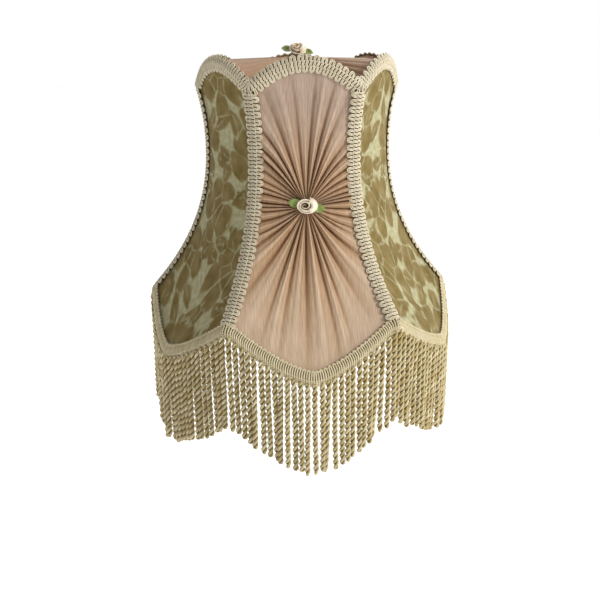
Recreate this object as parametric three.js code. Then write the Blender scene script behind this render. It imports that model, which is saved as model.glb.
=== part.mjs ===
// A six-sided bell-shaped lamp shade with a bullion fringe: a wire frame with a ring fitter, a
// cotton lining, six cover panels that are silk chiffon and burnt-out velvet by turns, a
// gathered silk top, gimp braid over every edge, ribbon roses, and a fringe under each panel.
// Millimetres, +Z up, one panel facing -Y. The origin is the centre of the fitter ring's
// underside, which sits on the lampholder.
import * as THREE from 'three';

// ---- the frame
const sides = 6;
const topCornerRadius = 81;
const neckRadius = 74.5;
const neckDrop = 47;
const bottomCornerRadius = 129;
const flarePower = 2.2;
const ribHeight = 175;
const archRise = 18;
const archLean = 5;
const scallopDrop = 34;
const scallopFlare = 20;
const scallopPower = 1.46;
const edgeFade = 2.2;
const wireDiameter = 3;
// ---- the fitter
const fitterDepth = 62;
const fitterBore = 42;
const fitterRim = 5.5;
const fitterThickness = 1.6;
const armCount = 3;
// ---- the cloth and the trimmings
const clearance = 0.3;
const fabricThickness = 0.8;
const liningThickness = 0.7;
const liningGap = 3.2;
const crownHeight = 20;
const gimpWidth = 13;
const gimpThickness = 1.8;
const gimpOverhang = 6;
const headerAbove = 4.5;
const headerBelow = 5.5;
const fringeLength = 78;
const strandDiameter = 3.9;
const strandGap = 1;
const swingLine = 6;
const swingAngle = 20;
const roseWidth = 16;
const roseHeight = 9;
const topRoseWidth = 13;
const topRoseHeight = 11;
const leafLength = 9;
const leafWidth = 6.5;
const leafThickness = 0.8;
const leafStandoff = 2;
const rosetteDepth = 86;

// ---- worked out from the sizes above
const wireRadius = wireDiameter / 2;
const turn = (2 * Math.PI) / sides;
const cosHalf = Math.cos(turn / 2);
const sinHalf = Math.sin(turn / 2);
const fabricInner = wireRadius + clearance;
const fabricOuter = fabricInner + fabricThickness;
const gimpInner = fabricOuter + clearance;
const gimpOuter = gimpInner + gimpThickness;
const liningOuter = -(wireRadius + clearance);
const liningInner = liningOuter - liningThickness;
const fringeMiddle = (gimpInner + gimpOuter) / 2;
const fringeInner = fringeMiddle - strandDiameter / 2;
const fringeOuter = fringeMiddle + strandDiameter / 2;
const bottomCornerHeight = fitterDepth - ribHeight;
const swingHeight = bottomCornerHeight - scallopDrop - headerBelow - swingLine;
const swingAxisOut = bottomCornerRadius * cosHalf + scallopFlare / 2 + fringeMiddle;
const up = new THREE.Vector3(0, 0, 1);

const shade = new THREE.Group();

function paint(color, roughness, metalness = 0) {
  return new THREE.MeshStandardMaterial({ color, roughness, metalness });
}

const paints = {
  wire: paint('#e9e4d8', 0.45),
  fitter: paint('#c9a24f', 0.35, 0.9),
  lining: paint('#efe6d2', 0.9),
  silk: paint('#c0a083', 0.6),
  velvet: paint('#8a7a48', 0.85),
  gimp: paint('#e6dcc0', 0.75),
  fringe: paint('#cbb98a', 0.7),
  rose: paint('#e8d8bc', 0.55),
  leaf: paint('#7c8c3c', 0.6),
};

function add(name, geometry, material) {
  const mesh = new THREE.Mesh(geometry, material);
  mesh.name = name;
  shade.add(mesh);
  return mesh;
}

// ---- the shade's surface, which runs through the middle of every frame wire

// The corner radius at a distance below the top corners: a narrow neck, then a wide flare.
function cornerRadius(drop) {
  if (drop < neckDrop) {
    return neckRadius + (topCornerRadius - neckRadius) * (1 - drop / neckDrop) ** 2;
  }
  const share = (drop - neckDrop) / (ribHeight - neckDrop);
  return neckRadius + (bottomCornerRadius - neckRadius) * share ** flarePower;
}

function archAt(u) {
  return 1 - u * u;
}

function scallopAt(u) {
  return 1 - Math.abs(u) ** scallopPower;
}

// A point on one panel: u runs from -1 to 1 between its corners, t from 0 to 1 down its height.
function surfacePoint(panel, u, t) {
  const radius = cornerRadius(t * ribHeight);
  const arch = archAt(u) * (1 - t) ** edgeFade;
  const scallop = scallopAt(u) * t ** edgeFade;
  const along = (u * radius) * sinHalf;
  const out = radius * cosHalf + archLean * arch + scallopFlare * scallop;
  const z = fitterDepth - t * ribHeight + archRise * arch - scallopDrop * scallop;
  return placeOnPanel(panel, along, out, z);
}

function placeOnPanel(panel, along, out, z) {
  const angle = -Math.PI / 2 + panel * turn;
  const x = out * Math.cos(angle) - along * Math.sin(angle);
  const y = out * Math.sin(angle) + along * Math.cos(angle);
  return new THREE.Vector3(x, y, z);
}

// The outward direction of a surface given as a function of two parameters.
function outward(pointAt, a, b) {
  const step = 0.004;
  const across = pointAt(Math.min(1, a + step), b).sub(pointAt(Math.max(-1, a - step), b));
  const down = pointAt(a, Math.min(1, b + step)).sub(pointAt(a, Math.max(0, b - step)));
  return down.cross(across).normalize();
}

// ---- closed solids from a grid of inner and outer points

function solid(positions, index) {
  const geometry = new THREE.BufferGeometry();
  geometry.setAttribute('position', new THREE.Float32BufferAttribute(positions, 3));
  geometry.setIndex(index);
  geometry.computeVertexNormals();
  return geometry;
}

function flatten(rows) {
  return rows.flat().flatMap(({ inner, outer }) => [...outer.toArray(), ...inner.toArray()]);
}

// Each grid row is a list of {inner, outer}. A ring of rows closes on itself and has no ends.
function shell(rows, ring = false) {
  const index = [];
  const wide = rows[0].length;
  const outerAt = (i, j) => 2 * ((i % rows.length) * wide + j);
  const innerAt = (i, j) => outerAt(i, j) + 1;
  const quad = (a, b, c, d) => index.push(a, b, c, a, c, d);
  const last = ring ? rows.length : rows.length - 1;
  for (let i = 0; i < last; i++) {
    for (let j = 0; j < wide - 1; j++) {
      quad(outerAt(i, j), outerAt(i, j + 1), outerAt(i + 1, j + 1), outerAt(i + 1, j));
      quad(innerAt(i, j), innerAt(i + 1, j), innerAt(i + 1, j + 1), innerAt(i, j + 1));
    }
    quad(outerAt(i, 0), outerAt(i + 1, 0), innerAt(i + 1, 0), innerAt(i, 0));
    quad(outerAt(i, wide - 1), innerAt(i, wide - 1), innerAt(i + 1, wide - 1),
      outerAt(i + 1, wide - 1));
  }
  if (!ring) {
    const end = rows.length - 1;
    for (let j = 0; j < wide - 1; j++) {
      quad(outerAt(0, j), innerAt(0, j), innerAt(0, j + 1), outerAt(0, j + 1));
      quad(outerAt(end, j), outerAt(end, j + 1), innerAt(end, j + 1), innerAt(end, j));
    }
  }
  return solid(flatten(rows), index);
}

// A point moved off the surface by two distances, to give a sheet its two faces.
function pair(point, direction, inner, outer) {
  return {
    inner: point.clone().addScaledVector(direction, inner),
    outer: point.clone().addScaledVector(direction, outer),
  };
}

function steps(count, from = 0, to = 1) {
  return Array.from({ length: count + 1 }, (_, i) => from + ((to - from) * i) / count);
}

// A sheet on one panel that stops short of the corners and of the top and bottom edges.
function panelSheet(panel, { inner, outer, margin, topGap, bottomGap, wide, tall }) {
  const pointAt = (u, t) => {
    const drop = topGap + t * (ribHeight - topGap - bottomGap);
    const share = drop / ribHeight;
    const half = cornerRadius(drop) * sinHalf;
    return surfacePoint(panel, u * (1 - margin / half), share);
  };
  return shell(steps(wide, -1, 1).map((u) => steps(tall).map((t) => {
    return pair(pointAt(u, t), outward(pointAt, u, t), inner, outer);
  })));
}

// ---- wires

class EdgeCurve extends THREE.Curve {
  constructor(level) {
    super();
    this.level = level;
  }

  getPoint(s) {
    const around = (s % 1) * sides;
    const panel = Math.floor(around);
    return surfacePoint(panel, 2 * (around - panel) - 1, this.level);
  }
}

class CornerCurve extends THREE.Curve {
  constructor(panel, from, to) {
    super();
    this.panel = panel;
    this.from = from;
    this.to = to;
  }

  getPoint(s) {
    return surfacePoint(this.panel, 1, this.from + (this.to - this.from) * s);
  }
}

function round(radius, count) {
  const circle = new THREE.Shape();
  for (let i = 0; i < count; i++) {
    const angle = (2 * Math.PI * i) / count;
    const method = i === 0 ? 'moveTo' : 'lineTo';
    circle[method](radius * Math.cos(angle), radius * Math.sin(angle));
  }
  circle.closePath();
  return circle;
}

function makeWires() {
  const edgeSteps = sides * 8;
  const ring = (level) => {
    return new THREE.TubeGeometry(new EdgeCurve(level), edgeSteps, wireRadius, 6, true);
  };
  add('top_scallop_wire', ring(0), paints.wire);
  add('bottom_scallop_wire', ring(1), paints.wire);
  const endGap = (wireRadius + clearance + wireRadius) / ribHeight;
  for (let i = 0; i < sides; i++) {
    const path = new CornerCurve(i, endGap, 1 - endGap);
    const rib = new THREE.ExtrudeGeometry(round(wireRadius, 6), { steps: 14, extrudePath: path });
    add(`rib_wire_${i + 1}`, rib, paints.wire);
  }
}

// ---- the ring fitter, held by arms to every second rib

function rod(from, to, radius) {
  const length = from.distanceTo(to);
  const geometry = new THREE.CylinderGeometry(radius, radius, length, 10);
  const direction = to.clone().sub(from).normalize();
  const turned = new THREE.Quaternion().setFromUnitVectors(new THREE.Vector3(0, 1, 0), direction);
  geometry.applyQuaternion(turned);
  const middle = from.clone().add(to).multiplyScalar(0.5);
  geometry.translate(middle.x, middle.y, middle.z);
  return geometry;
}

function makeFitter() {
  const inner = fitterBore / 2;
  const outer = inner + fitterRim;
  const profile = [
    new THREE.Vector2(inner, 0),
    new THREE.Vector2(outer, 0),
    new THREE.Vector2(outer, fitterThickness),
    new THREE.Vector2(inner, fitterThickness),
    new THREE.Vector2(inner, 0),
  ];
  const ring = new THREE.LatheGeometry(profile, 36);
  ring.rotateX(Math.PI / 2);
  add('fitter_ring', ring, paints.fitter);
  for (let k = 0; k < armCount; k++) {
    const panel = (k * sides) / armCount;
    const height = fitterThickness / 2;
    const rib = cornerRadius(fitterDepth - height);
    const direction = surfacePoint(panel, 1, 0).setZ(0).normalize();
    const from = direction.clone().multiplyScalar(outer + clearance).setZ(height);
    const to = direction.clone().multiplyScalar(rib - wireRadius - clearance).setZ(height);
    add(`fitter_arm_${k + 1}`, rod(from, to, wireRadius), paints.wire);
  }
}

// ---- the lining and the cover

function makeLining() {
  const armRoom = (wireRadius + clearance - liningInner * cosHalf * Math.tan(turn / 2)) / cosHalf;
  for (let i = 0; i < sides; i++) {
    const sheet = panelSheet(i, {
      inner: liningInner,
      outer: liningOuter,
      margin: armRoom,
      topGap: liningGap,
      bottomGap: clearance,
      wide: 8,
      tall: 12,
    });
    add(`lining_${i + 1}`, sheet, paints.lining);
  }
}

function makePanels() {
  for (let i = 0; i < sides; i++) {
    const isSilk = i % 2 === 0;
    const sheet = panelSheet(i, {
      inner: fabricInner,
      outer: fabricOuter,
      margin: clearance,
      topGap: 0,
      bottomGap: 0,
      wide: 10,
      tall: 16,
    });
    const number = Math.floor(i / 2) + 1;
    const name = isSilk ? `silk_panel_${number}` : `velvet_panel_${number}`;
    add(name, sheet, isSilk ? paints.silk : paints.velvet);
  }
}

// A sheet across the top, from the arched edge wire up to its crown. Inset is how far it stays
// inside the wire's middle, sink how far it lies below it.
function topSheet(inset, sink, thickness) {
  const perPanel = 6;
  const shares = [1, 0.66, 0.33, 0.05];
  const reach = 1 - inset / (topCornerRadius * cosHalf);
  const crown = fitterDepth + crownHeight - sink;
  const rows = [];
  for (let i = 0; i < sides * perPanel; i++) {
    const panel = Math.floor(i / perPanel);
    const edge = surfacePoint(panel, (2 * (i % perPanel)) / perPanel - 1, 0);
    rows.push(shares.map((share) => {
      const height = crown + (edge.z - sink - crown) * share;
      const point = edge.clone().multiplyScalar(reach * share).setZ(height);
      return pair(point, up, -thickness / 2, thickness / 2);
    }));
  }
  return closeCentre(rows, crown, thickness);
}

// Joins the innermost ring of a round sheet to one point above and one below its middle.
function closeCentre(rows, height, thickness) {
  const index = [];
  const wide = rows[0].length;
  const middle = 2 * rows.length * wide;
  const middlePair = [0, 0, height + thickness / 2, 0, 0, height - thickness / 2];
  for (let i = 0; i < rows.length; i++) {
    const a = 2 * i * wide;
    const b = 2 * ((i + 1) % rows.length) * wide;
    for (let j = 0; j < wide - 1; j++) {
      const c = 2 * j;
      const d = 2 * (j + 1);
      index.push(a + c, b + c, b + d, a + c, b + d, a + d);
      index.push(a + c + 1, b + d + 1, b + c + 1, a + c + 1, a + d + 1, b + d + 1);
    }
    const end = 2 * (wide - 1);
    index.push(a + end, b + end, middle);
    index.push(b + end + 1, a + end + 1, middle + 1);
    index.push(a, b + 1, b, a, a + 1, b + 1);
  }
  return solid([...flatten(rows), ...middlePair], index);
}

function makeTop() {
  add('top_cover', topSheet(wireRadius + clearance, 0, fabricThickness), paints.silk);
  const liningInset = liningGap - liningInner;
  add('top_lining', topSheet(liningInset, liningGap + liningThickness, liningThickness), paints.lining);
}

// ---- gimp braid

// The direction that keeps a band one unit clear of the two faces that meet along a line.
function mitre(first, second) {
  const cosine = first.dot(second) / (first.length() * second.length());
  return first.clone().add(second).divideScalar(1 + cosine);
}

// How a band stands off at a column: mitred where two panels meet.
function standOff(surface, panel, u, level) {
  const direction = outward((a, b) => surface(panel, a, b), u, level);
  if (Math.abs(u) < 1) {
    return direction;
  }
  const neighbour = panel + Math.sign(u);
  return mitre(direction, outward((a, b) => surface(neighbour, a, b), -u, level));
}

// The plumb surface that hangs from the bottom edge.
function plumbPoint(panel, u, drop) {
  return surfacePoint(panel, u, 1).addScaledVector(up, -drop);
}

function ribGimp(corner) {
  const top = gimpWidth - gimpOverhang + clearance;
  const bottom = ribHeight - headerAbove - clearance;
  return shell([-1, 0, 1].map((side) => steps(16, top, bottom).map((drop) => {
    const fromCorner = gimpWidth / 2 / (cornerRadius(drop) * sinHalf);
    const panel = side > 0 ? corner + 1 : corner;
    const u = side > 0 ? -1 + fromCorner : 1 - Math.abs(side) * fromCorner;
    const level = drop / ribHeight;
    const direction = standOff(surfacePoint, panel, u, level);
    return pair(surfacePoint(panel, u, level), direction, gimpInner, gimpOuter);
  })));
}

// One column of points for each step around the shade.
function around(perPanel, column) {
  return Array.from({ length: sides * perPanel }, (_, i) => {
    return column(Math.floor(i / perPanel), (2 * (i % perPanel)) / perPanel - 1);
  });
}

// The braid around the top edge: its lower part lies on the panels, its upper part stands up.
function topGimp() {
  const lower = (gimpWidth - gimpOverhang) / ribHeight;
  return shell(around(8, (panel, u) => {
    const edge = surfacePoint(panel, u, 0);
    const direction = standOff(surfacePoint, panel, u, 0);
    return [
      pair(edge.clone().addScaledVector(up, gimpOverhang), direction, gimpInner, gimpOuter),
      pair(edge, direction, gimpInner, gimpOuter),
      pair(surfacePoint(panel, u, lower), standOff(surfacePoint, panel, u, lower), gimpInner, gimpOuter),
    ];
  }), true);
}

// The fringe's header: its upper part lies on the panels, its lower part hangs plumb.
function fringeHeader() {
  const upper = 1 - headerAbove / ribHeight;
  return shell(around(10, (panel, u) => {
    const plumb = standOff(plumbPoint, panel, u, 0.5);
    const bend = mitre(standOff(surfacePoint, panel, u, 1), plumb);
    return [
      pair(surfacePoint(panel, u, upper), standOff(surfacePoint, panel, u, upper), gimpInner, gimpOuter),
      pair(plumbPoint(panel, u, 0), bend, gimpInner, gimpOuter),
      pair(plumbPoint(panel, u, headerBelow), plumb, gimpInner, gimpOuter),
    ];
  }), true);
}

function makeBraid() {
  for (let i = 0; i < sides; i++) {
    add(`rib_gimp_${i + 1}`, ribGimp(i), paints.gimp);
  }
  add('top_gimp', topGimp(), paints.gimp);
  add('fringe_header', fringeHeader(), paints.fringe);
}

// ---- the fringe, hanging plumb: a still upper part to the swing line, then a part that swings

// A plumb curtain on one panel, its top and bottom heights given at each step across.
function curtain(panel, topOf, bottomOf) {
  return shell(steps(10, -1, 1).map((u) => {
    const edge = plumbPoint(panel, u, 0);
    const direction = outward((a, b) => plumbPoint(panel, a, b), u, 0.5);
    return [topOf(u, edge.z), bottomOf(u, edge.z)].map((z) => {
      return pair(edge.clone().setZ(z), direction, fringeInner, fringeOuter);
    });
  }));
}

// How far the skirt's top rises as it swings out, where it lies outside the swing axis.
function swingRise(u) {
  const out = bottomCornerRadius * cosHalf + scallopFlare * scallopAt(u) + fringeOuter;
  return Math.max(0, out - swingAxisOut) * Math.sin(THREE.MathUtils.degToRad(swingAngle));
}

function makeFringe() {
  for (let i = 0; i < sides; i++) {
    const still = curtain(i, (u, z) => z - headerBelow - strandGap, () => swingHeight);
    const skirtTop = (u) => swingHeight - clearance - swingRise(u);
    const swinging = curtain(i, skirtTop, (u, z) => z - headerBelow - fringeLength);
    add(`fringe_top_${i + 1}`, still, paints.fringe);
    add(`fringe_skirt_${i + 1}`, swinging, paints.fringe);
  }
}

// ---- ribbon roses and their leaves

function roseGeometry(width, height) {
  const half = width / 2;
  const profile = [
    new THREE.Vector2(0, 0),
    new THREE.Vector2(half * 0.7, 0),
    new THREE.Vector2(half, height * 0.35),
    new THREE.Vector2(half * 0.9, height * 0.75),
    new THREE.Vector2(half * 0.55, height),
    new THREE.Vector2(0, height * 0.85),
  ];
  const geometry = new THREE.LatheGeometry(profile, 14);
  geometry.rotateX(Math.PI / 2);
  return geometry;
}

// Two pointed leaves end to end, lying flat under the rose.
function leafGeometry(width) {
  const inner = width * 0.25;
  const tip = width / 2 + leafLength / 2;
  const outline = new THREE.Shape();
  outline.moveTo(-tip, 0);
  outline.quadraticCurveTo(-tip + leafLength / 2, leafWidth * 0.7, -inner, leafWidth * 0.3);
  outline.lineTo(inner, leafWidth * 0.3);
  outline.quadraticCurveTo(tip - leafLength / 2, leafWidth * 0.7, tip, 0);
  outline.quadraticCurveTo(tip - leafLength / 2, -leafWidth * 0.7, inner, -leafWidth * 0.3);
  outline.lineTo(-inner, -leafWidth * 0.3);
  outline.quadraticCurveTo(-tip + leafLength / 2, -leafWidth * 0.7, -tip, 0);
  const settings = { depth: leafThickness, bevelEnabled: false, curveSegments: 4 };
  return new THREE.ExtrudeGeometry(outline, settings);
}

// Stands a piece made on the XY plane off a surface point, its own X kept level.
function layOn(mesh, point, direction, standoff) {
  const level = new THREE.Vector3().crossVectors(up, direction).normalize();
  const rise = new THREE.Vector3().crossVectors(direction, level);
  mesh.quaternion.setFromRotationMatrix(new THREE.Matrix4().makeBasis(level, rise, direction));
  mesh.position.copy(point).addScaledVector(direction, standoff);
}

function makeRoses() {
  const level = rosetteDepth / ribHeight;
  const leafBase = fabricOuter + leafStandoff;
  for (let k = 0; k < sides / 2; k++) {
    const panel = 2 * k;
    const point = surfacePoint(panel, 0, level);
    const direction = outward((a, b) => surfacePoint(panel, a, b), 0, level);
    const leaves = add(`leaves_${k + 1}`, leafGeometry(roseWidth), paints.leaf);
    layOn(leaves, point, direction, leafBase);
    const rose = add(`rose_${k + 1}`, roseGeometry(roseWidth, roseHeight), paints.rose);
    layOn(rose, point, direction, leafBase + leafThickness + clearance);
  }
  const crown = fitterDepth + crownHeight + fabricThickness / 2 + clearance;
  const topLeaves = add('top_leaves', leafGeometry(topRoseWidth), paints.leaf);
  topLeaves.position.set(0, 0, crown);
  const topRose = add('top_rose', roseGeometry(topRoseWidth, topRoseHeight), paints.rose);
  topRose.position.set(0, 0, crown + leafThickness + clearance);
}

makeWires();
makeFitter();
makeLining();
makePanels();
makeTop();
makeBraid();
makeFringe();
makeRoses();

export default shade;
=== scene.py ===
# %% [markdown]
# A panelled lamp shade in silk and burnt-out velvet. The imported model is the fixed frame: it says
# where the wires, panels and fringes are. Every cell below makes one piece or one finish of the
# real shade on top of that frame. Sizes are in millimetres and turned to metres in one place.
# %% Load the frame
import math

import bpy
import numpy as np
from mathutils import Matrix, Vector


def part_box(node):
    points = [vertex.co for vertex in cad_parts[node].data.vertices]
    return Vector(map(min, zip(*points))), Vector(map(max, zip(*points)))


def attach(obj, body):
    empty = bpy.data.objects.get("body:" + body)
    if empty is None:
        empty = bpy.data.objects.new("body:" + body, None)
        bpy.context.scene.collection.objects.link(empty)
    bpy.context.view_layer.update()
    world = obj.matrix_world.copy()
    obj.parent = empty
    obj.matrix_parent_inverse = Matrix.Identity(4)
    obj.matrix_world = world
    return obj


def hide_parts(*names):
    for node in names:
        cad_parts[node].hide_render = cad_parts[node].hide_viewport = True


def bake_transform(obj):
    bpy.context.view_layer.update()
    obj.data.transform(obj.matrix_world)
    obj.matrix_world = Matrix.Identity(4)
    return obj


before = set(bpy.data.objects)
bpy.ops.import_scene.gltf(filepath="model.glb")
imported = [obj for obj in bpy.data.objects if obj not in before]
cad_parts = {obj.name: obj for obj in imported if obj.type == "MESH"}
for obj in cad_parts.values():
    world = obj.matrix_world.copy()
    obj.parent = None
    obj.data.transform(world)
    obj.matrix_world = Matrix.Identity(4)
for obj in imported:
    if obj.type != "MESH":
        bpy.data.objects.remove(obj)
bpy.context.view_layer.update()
MM = 0.001

# %% [markdown]
# The camera stands a little above the top of the shade and looks down at it, turned slightly to
# the left of the front panel. It is a short telephoto view from about two thirds of a metre.
# %% Camera
CAMERA_DISTANCE = 628
CAMERA_HEIGHT = 88.9
CAMERA_TURN = math.radians(-4.36)
CAMERA_PITCH = math.radians(19.2)
CAMERA_ROLL = math.radians(-0.66)

camera = bpy.data.objects.new("camera", bpy.data.cameras.new("camera"))
bpy.context.scene.collection.objects.link(camera)
camera.data.sensor_width = 36
camera.data.lens = 43.4
camera.data.clip_start = 0.01
around = Matrix.Rotation(CAMERA_TURN, 4, "Z")
place = Matrix.Translation((0, -CAMERA_DISTANCE * MM, CAMERA_HEIGHT * MM))
tilt = Matrix.Rotation(math.pi / 2 - CAMERA_PITCH, 4, "X")
camera.matrix_world = around @ place @ tilt @ Matrix.Rotation(CAMERA_ROLL, 4, "Z")
bpy.context.scene.camera = camera
print("camera stands", CAMERA_DISTANCE, "mm away and", CAMERA_HEIGHT, "mm above the middle")

# %% [markdown]
# A node tree is easier to read when one small function adds a node, sets it and links it. Colours
# are picked as sRGB hex values, and one function turns them to the linear values shaders work in.
# %% Colours and nodes


def linear(hex_colour):
    values = [int(hex_colour[i : i + 2], 16) / 255 for i in (1, 3, 5)]
    return [v / 12.92 if v <= 0.04045 else ((v + 0.055) / 1.055) ** 2.4 for v in values] + [1]


def add_node(tree, kind, inputs=(), **settings):
    made = tree.nodes.new(kind)
    for name, value in settings.items():
        setattr(made, name, value)
    for name, value in dict(inputs).items():
        if isinstance(value, bpy.types.NodeSocket):
            tree.links.new(value, made.inputs[name])
        else:
            made.inputs[name].default_value = value
    return made


def new_material(name):
    material = bpy.data.materials.new(name)
    material.use_nodes = True
    return material, material.node_tree, material.node_tree.nodes["Principled BSDF"]


def ramp(tree, factor, stops):
    made = add_node(tree, "ShaderNodeValToRGB", {"Fac": factor})
    elements = made.color_ramp.elements
    while len(elements) < len(stops):
        elements.new(0.5)
    for element, (position, colour) in zip(elements, stops):
        element.position = position
        element.color = linear(colour)
    return made.outputs["Color"]


def roughen(tree, shader, height, strength, distance):
    """Fine relief, too small for the mesh. The distance is in metres."""
    values = {"Height": height, "Strength": strength, "Distance": distance}
    bump = add_node(tree, "ShaderNodeBump", values)
    tree.links.new(bump.outputs["Normal"], shader.inputs["Normal"])


def set_shader(shader, **values):
    for name, value in values.items():
        shader.inputs[name.replace("_", " ")].default_value = value


print("colour #808080 is", round(linear("#808080")[0], 3), "in linear light")

# %% [markdown]
# The stage is plain white paper under soft studio light. The walls of the studio are bright behind
# and to the right and fade to dark in front and to the left, which gives the shade a lit side and a
# quiet side. A round soft light from the front right models the folds, and a weaker one from behind
# lifts the edges. A white dome keeps the dark walls out of view, and gives and blocks no light.
# %% Floor and light
FLOOR_DROP = 420
FLOOR_REACH = 12
FLOOR_GLOW = 0.32
DOME_RADIUS = 11
LIT_SIDE = (0.6, 0.8, 0.0)
DARK_WALL, BRIGHT_WALL = 0.05, 1.0

scene = bpy.context.scene
scene.view_settings.view_transform = "Standard"
scene.world = bpy.data.worlds.new("studio")
scene.world.use_nodes = True
sky = scene.world.node_tree
ray = add_node(sky, "ShaderNodeTexCoord").outputs["Generated"]
side = add_node(sky, "ShaderNodeVectorMath", {0: ray, 1: LIT_SIDE}, operation="DOT_PRODUCT")
fade = {"Value": side.outputs["Value"], "From Min": -1.0, "From Max": 0.35}
walls = add_node(sky, "ShaderNodeMapRange", {**fade, "To Min": DARK_WALL, "To Max": BRIGHT_WALL})
sky.links.new(walls.outputs["Result"], sky.nodes["Background"].inputs["Strength"])
sky.nodes["Background"].inputs["Color"].default_value = linear("#ffffff")

floor_mesh = bpy.data.meshes.new("floor")
floor_corners = ((-1, -1), (1, -1), (1, 1), (-1, 1))
floor_points = [(x * FLOOR_REACH, y * FLOOR_REACH, -FLOOR_DROP * MM) for x, y in floor_corners]
floor_mesh.from_pydata(floor_points, [], [(0, 1, 2, 3)])
floor = bpy.data.objects.new("floor", floor_mesh)
scene.collection.objects.link(floor)
floor_paint, _, floor_shader = new_material("matt white paper sweep")
floor_shader.inputs["Base Color"].default_value = linear("#fbfbfa")
floor_shader.inputs["Roughness"].default_value = 0.9
floor_shader.inputs["Emission Color"].default_value = linear("#ffffff")
floor_shader.inputs["Emission Strength"].default_value = FLOOR_GLOW
floor_mesh.materials.append(floor_paint)

bpy.ops.mesh.primitive_uv_sphere_add(radius=DOME_RADIUS, segments=48, ring_count=24)
dome = bpy.context.object
dome.name = "white_dome"
for rays in ("diffuse", "glossy", "shadow", "transmission"):
    setattr(dome, f"visible_{rays}", False)
dome_paint, dome_tree, _ = new_material("white backdrop")
glow = add_node(dome_tree, "ShaderNodeEmission", {"Color": linear("#ffffff"), "Strength": 1.0})
dome_tree.links.new(glow.outputs["Emission"], dome_tree.nodes["Material Output"].inputs["Surface"])
dome.data.materials.append(dome_paint)


def soft_light(name, position, size, power):
    lamp = bpy.data.lights.new(name, "AREA")
    lamp.shape = "DISK"
    lamp.size = size
    lamp.energy = power
    made = bpy.data.objects.new(name, lamp)
    made.location = position
    made.rotation_euler = (-Vector(position)).to_track_quat("-Z", "Y").to_euler()
    scene.collection.objects.link(made)


soft_light("key light", (1.5, -1.0, 0.9), 0.6, 24)
soft_light("back light", (0.8, 1.6, 1.0), 1.2, 10)
print("floor lies", FLOOR_DROP, "mm below the middle of the shade")

# %% [markdown]
# The shade's form is one formula: six bowed ribs, a top edge that arches between them and a bottom
# edge that hangs in scallops. The numbers are the frame's own driving sizes. Everything soft is
# laid on this surface at a small distance from the wires.
# %% The shade's surface
SIDES = 6
TOP_RADIUS, NECK_RADIUS, BOTTOM_RADIUS = 81, 74.5, 129
NECK_DROP, RIB_HEIGHT, FLARE_POWER = 47, 175, 2.2
ARCH_RISE, ARCH_LEAN = 18, 5
SCALLOP_DROP, SCALLOP_FLARE, SCALLOP_POWER = 34, 20, 1.46
EDGE_FADE, FITTER_DEPTH = 2.2, 62
TURN = 2 * math.pi / SIDES
COS_HALF, SIN_HALF = math.cos(TURN / 2), math.sin(TURN / 2)


def corner_radius(drop):
    upper = NECK_RADIUS + (TOP_RADIUS - NECK_RADIUS) * (1 - np.minimum(drop, NECK_DROP) / NECK_DROP) ** 2
    share = np.clip((drop - NECK_DROP) / (RIB_HEIGHT - NECK_DROP), 0, 1)
    return upper + (BOTTOM_RADIUS - NECK_RADIUS) * share**FLARE_POWER


def surface(panel, u, t):
    """Points on a panel: u is -1 to 1 between its corners, t is 0 to 1 down its height."""
    u, t = np.broadcast_arrays(np.asarray(u, float), np.asarray(t, float))
    radius = corner_radius(t * RIB_HEIGHT)
    arch = (1 - u * u) * (1 - t) ** EDGE_FADE
    scallop = (1 - np.abs(u) ** SCALLOP_POWER) * t**EDGE_FADE
    along = u * radius * SIN_HALF
    out = radius * COS_HALF + ARCH_LEAN * arch + SCALLOP_FLARE * scallop
    height = FITTER_DEPTH - t * RIB_HEIGHT + ARCH_RISE * arch - SCALLOP_DROP * scallop
    angle = -math.pi / 2 + np.asarray(panel) * TURN
    x = out * np.cos(angle) - along * np.sin(angle)
    y = out * np.sin(angle) + along * np.cos(angle)
    return np.stack([x, y, height], -1)


def unit(vectors):
    return vectors / np.linalg.norm(vectors, axis=-1, keepdims=True)


def outward(panel, u, t):
    """The surface's outward direction."""
    step = 0.004
    across = surface(panel, np.clip(u + step, -1, 1), t) - surface(panel, np.clip(u - step, -1, 1), t)
    down = surface(panel, u, np.clip(t + step, 0, 1)) - surface(panel, u, np.clip(t - step, 0, 1))
    return unit(np.cross(down, across))


corner = surface(0, 1, 0.5)
rib_low, rib_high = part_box("rib_wire_1")
print("rib at mid height, mm", np.round(corner, 1), "rib wire box", rib_low / MM, rib_high / MM)

# %% [markdown]
# Two mesh builders carry the whole shade. One turns a grid of points into a sheet of cloth, the
# other sweeps a round cord along many paths at once. Both store a UV map in metres, so that a
# weave or a twist can be given in real sizes.
# %% Mesh builders


def finish_mesh(name, points, faces, uv, material, body="shade", attributes=()):
    mesh = bpy.data.meshes.new(name)
    mesh.vertices.add(len(points))
    mesh.vertices.foreach_set("co", (points * MM).astype(np.float32).ravel())
    mesh.loops.add(faces.size)
    mesh.loops.foreach_set("vertex_index", faces.astype(np.int32).ravel())
    mesh.polygons.add(len(faces))
    mesh.polygons.foreach_set("loop_start", np.arange(0, faces.size, 4, dtype=np.int32))
    mesh.polygons.foreach_set("use_smooth", np.ones(len(faces), bool))
    mesh.update(calc_edges=True)
    layer = mesh.uv_layers.new(name="metres")
    layer.data.foreach_set("uv", (uv.reshape(-1, 2) * MM).astype(np.float32).ravel())
    for key, values in dict(attributes).items():
        stored = mesh.attributes.new(key, "FLOAT", "POINT")
        stored.data.foreach_set("value", values.astype(np.float32).ravel())
    mesh.materials.append(material)
    made = bpy.data.objects.new(name, mesh)
    scene.collection.objects.link(made)
    if body:
        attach(made, body)
    return made


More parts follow.
